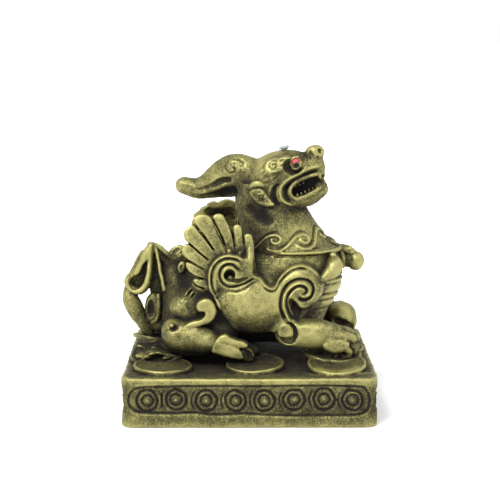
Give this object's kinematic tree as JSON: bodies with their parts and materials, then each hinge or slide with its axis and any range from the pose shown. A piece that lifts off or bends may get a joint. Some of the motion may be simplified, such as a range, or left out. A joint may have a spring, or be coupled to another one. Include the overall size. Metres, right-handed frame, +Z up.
{
  "type": "pixiu figurine",
  "caption": "Small cast-brass pixiu with one backswept horn, wings and raised head, lying over coins on a square base, with glass eyes.",
  "frame": {"origin": "middle of the square base's underside, on the surface the figure stands on", "axes": "+X the way the beast's body faces, +Y to its left, +Z up"},
  "size_m": [0.0504, 0.05, 0.0531],
  "materials": {
    "antique_brass": "darkened in the recesses, rubbed bright on the high places",
    "red_glass": "faceted and polished",
    "clear_glass": "faceted and polished"
  },
  "bodies": {
    "root": {"pixiu_casting": "antique_brass", "right_eye_stone": "red_glass", "left_eye_stone": "red_glass", "forehead_stone": "clear_glass"}
  },
  "joints": []
}
